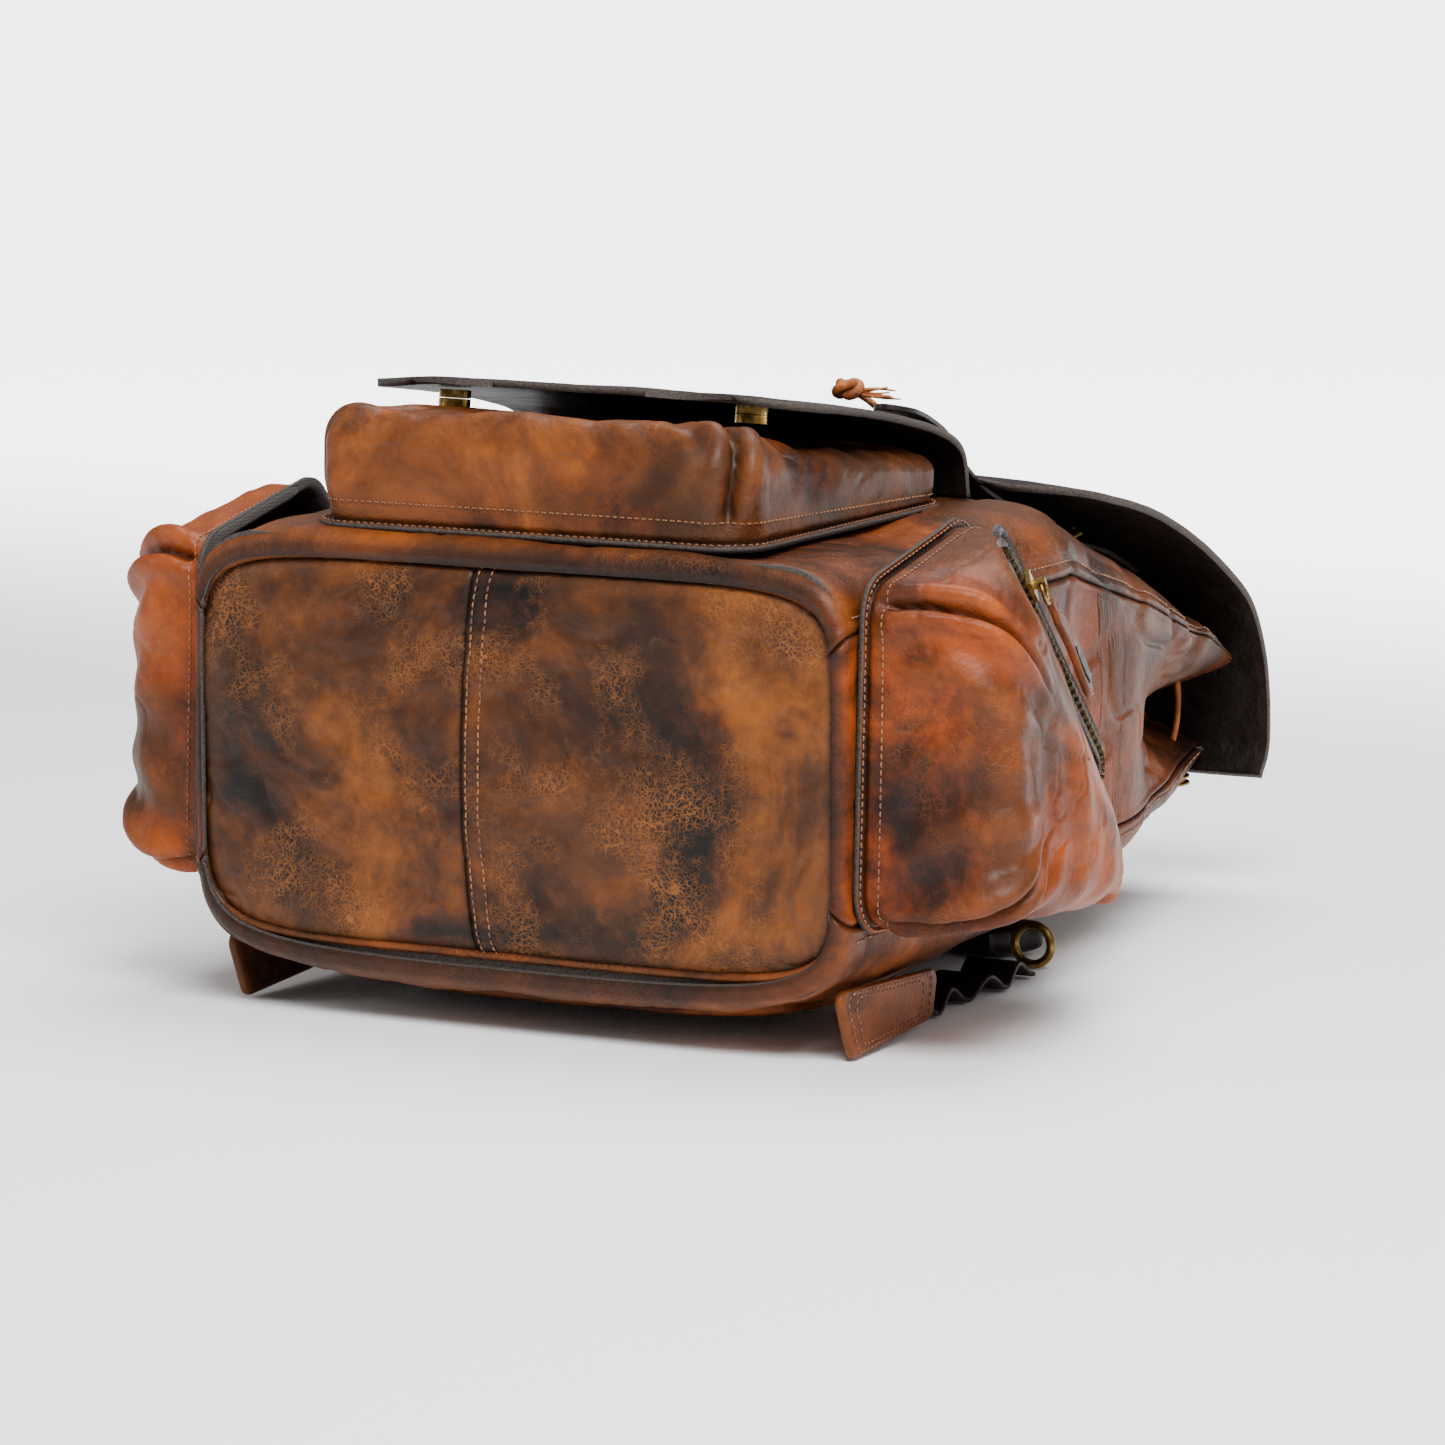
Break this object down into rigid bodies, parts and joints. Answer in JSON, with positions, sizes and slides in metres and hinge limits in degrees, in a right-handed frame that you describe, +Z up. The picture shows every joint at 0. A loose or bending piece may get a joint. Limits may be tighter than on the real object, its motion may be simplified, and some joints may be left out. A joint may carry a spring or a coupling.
{
  "type": "leather rucksack",
  "caption": "Leather rucksack lying on its back: flap lid with two buckled straps, drawstring mouth, snap-flap front pocket and zipped side pockets.",
  "frame": {"origin": "on the floor under the middle of the bag as it lies on its back", "axes": "+Z up and out of the bag's front, -Y out of its base, +X to the right of someone facing the base with the front up"},
  "size_m": [0.45, 0.4825, 0.276],
  "materials": {
    "tan_leather": "waxed pull-up leather, worn",
    "dark_leather": "thick dark bridle leather",
    "lace_leather": "leather lace",
    "antique_brass": "antique brass",
    "zip_tape": "woven zip tape",
    "lining_cloth": "cotton lining",
    "board": "fibre board"
  },
  "bodies": {
    "body": {"anchor_tab_left": "tan_leather", "anchor_tab_right": "tan_leather", "back_pad": "tan_leather", "back_panel": "tan_leather", "base_board": "board", "base_panel_left": "tan_leather", "base_panel_right": "tan_leather", "base_welt": "tan_leather", "drawstring": "lace_leather", "drawstring_bead": "lace_leather", "drawstring_tail": "lace_leather", "eyelets": "antique_brass", "front_panel": "tan_leather", "front_pocket": "tan_leather", "handle_feet": "dark_leather", "lid_snap_sockets": "antique_brass", "lining": "lining_cloth", "pocket_snap_sockets": "antique_brass", "side_panel_left": "tan_leather", "side_panel_right": "tan_leather", "side_pocket_left": "tan_leather", "side_pocket_right": "tan_leather", "side_skirt_left": "tan_leather", "side_skirt_right": "tan_leather", "strap_yoke": "dark_leather", "zip_tape_left": "zip_tape", "zip_tape_right": "zip_tape", "zip_teeth_left": "antique_brass", "zip_teeth_right": "antique_brass"},
    "lid": {"lid": "dark_leather", "strap_chapes": "dark_leather", "strap_keepers": "dark_leather", "lid_snap_studs": "antique_brass", "closure_strap_left": "dark_leather", "closure_strap_right": "dark_leather", "buckle_frame_left": "antique_brass", "buckle_frame_right": "antique_brass"},
    "strap_tips": {"strap_tip_left": "dark_leather", "strap_tip_right": "dark_leather"},
    "pocket_flap": {"pocket_flap": "dark_leather", "pocket_snap_studs": "antique_brass", "drawstring_tail_end": "lace_leather", "drawstring_knot": "lace_leather"},
    "carry_handle": {"carry_handle": "dark_leather"},
    "zip_slider_left": {"zip_slider_left": "antique_brass"},
    "zip_ring_left": {"zip_ring_left": "antique_brass"},
    "zip_puller_left": {"zip_puller_left": "tan_leather"},
    "buckle_roller_left": {"buckle_roller_left": "antique_brass"},
    "buckle_prong_left": {"buckle_prong_left": "antique_brass"},
    "shoulder_strap_left": {"shoulder_strap_left": "dark_leather"},
    "strap_ring_left": {"strap_ring_left": "antique_brass"},
    "lower_strap_left": {"lower_strap_left": "dark_leather"},
    "zip_slider_right": {"zip_slider_right": "antique_brass"},
    "zip_ring_right": {"zip_ring_right": "antique_brass"},
    "zip_puller_right": {"zip_puller_right": "tan_leather"},
    "buckle_roller_right": {"buckle_roller_right": "antique_brass"},
    "buckle_prong_right": {"buckle_prong_right": "antique_brass"},
    "shoulder_strap_right": {"shoulder_strap_right": "dark_leather"},
    "strap_ring_right": {"strap_ring_right": "antique_brass"},
    "lower_strap_right": {"lower_strap_right": "dark_leather"}
  },
  "joints": [
    {"name": "lid_hinge", "type": "hinge", "parent": "body", "child": "lid", "pos_m": [0, 0.23, 0.06], "axis": [-1, 0, 0], "range_deg": [0, 120]},
    {"name": "pocket_flap_hinge", "type": "hinge", "parent": "body", "child": "pocket_flap", "pos_m": [0, -0.016, 0.226], "axis": [-1, 0, 0], "range_deg": [0, 70]},
    {"name": "strap_tip_bend", "type": "hinge", "parent": "lid", "child": "strap_tips", "pos_m": [0, -0.016, 0.226], "axis": [-1, 0, 0], "range_deg": [0, 70]},
    {"name": "carry_handle_swing", "type": "hinge", "parent": "body", "child": "carry_handle", "pos_m": [0, 0.22, 0.05503], "axis": [1, 0, 0], "range_deg": [-40, 35]},
    {"name": "zip_slide_left", "type": "slide", "parent": "body", "child": "zip_slider_left", "axis": [0, 0.6947, -0.7193], "range_m": [0, 0.098]},
    {"name": "zip_ring_swing_left", "type": "hinge", "parent": "zip_slider_left", "child": "zip_ring_left", "pos_m": [-0.19083, -0.11924, 0.19432], "axis": [0.4138, 0.6549, 0.6324], "range_deg": [0, 75]},
    {"name": "zip_puller_swing_left", "type": "hinge", "parent": "zip_ring_left", "child": "zip_puller_left", "pos_m": [-0.19083, -0.1116, 0.18641], "axis": [0.4138, 0.6549, 0.6324], "range_deg": [0, 30]},
    {"name": "buckle_roller_spin_left", "type": "hinge", "parent": "lid", "child": "buckle_roller_left", "pos_m": [-0.088, 0.11388, 0.18503], "axis": [1, 0, 0], "continuous": true},
    {"name": "buckle_prong_lift_left", "type": "hinge", "parent": "lid", "child": "buckle_prong_left", "pos_m": [-0.088, 0.09171, 0.18245], "axis": [1, 0, 0], "range_deg": [0, 12]},
    {"name": "shoulder_strap_swing_left", "type": "hinge", "parent": "body", "child": "shoulder_strap_left", "pos_m": [-0.046, 0.138, 0.001], "axis": [1, 0, 0], "range_deg": [0, 60]},
    {"name": "strap_ring_swivel_left", "type": "hinge", "parent": "shoulder_strap_left", "child": "strap_ring_left", "pos_m": [-0.128, 0.009, 0.0114], "axis": [0, 0, 1], "range_deg": [-20, 20]},
    {"name": "lower_strap_swing_left", "type": "hinge", "parent": "body", "child": "lower_strap_left", "pos_m": [-0.127, -0.138, 0.0055], "axis": [-1, 0, 0], "range_deg": [0, 50]},
    {"name": "zip_slide_right", "type": "slide", "parent": "body", "child": "zip_slider_right", "axis": [0, 0.6947, -0.7193], "range_m": [0, 0.098]},
    {"name": "zip_ring_swing_right", "type": "hinge", "parent": "zip_slider_right", "child": "zip_ring_right", "pos_m": [0.19083, -0.11924, 0.19432], "axis": [0.4138, -0.6549, -0.6324], "range_deg": [0, 75]},
    {"name": "zip_puller_swing_right", "type": "hinge", "parent": "zip_ring_right", "child": "zip_puller_right", "pos_m": [0.19083, -0.1116, 0.18641], "axis": [0.4138, -0.6549, -0.6324], "range_deg": [0, 30]},
    {"name": "buckle_roller_spin_right", "type": "hinge", "parent": "lid", "child": "buckle_roller_right", "pos_m": [0.088, 0.11388, 0.18503], "axis": [1, 0, 0], "continuous": true},
    {"name": "buckle_prong_lift_right", "type": "hinge", "parent": "lid", "child": "buckle_prong_right", "pos_m": [0.088, 0.09171, 0.18245], "axis": [1, 0, 0], "range_deg": [0, 12]},
    {"name": "shoulder_strap_swing_right", "type": "hinge", "parent": "body", "child": "shoulder_strap_right", "pos_m": [0.046, 0.138, 0.001], "axis": [1, 0, 0], "range_deg": [0, 60]},
    {"name": "strap_ring_swivel_right", "type": "hinge", "parent": "shoulder_strap_right", "child": "strap_ring_right", "pos_m": [0.128, 0.009, 0.0114], "axis": [0, 0, 1], "range_deg": [-20, 20]},
    {"name": "lower_strap_swing_right", "type": "hinge", "parent": "body", "child": "lower_strap_right", "pos_m": [0.127, -0.138, 0.0055], "axis": [-1, 0, 0], "range_deg": [0, 50]}
  ],
  "couplings": [
    {"joint": "strap_tip_bend", "follows": "pocket_flap_hinge", "ratio": 1}
  ]
}
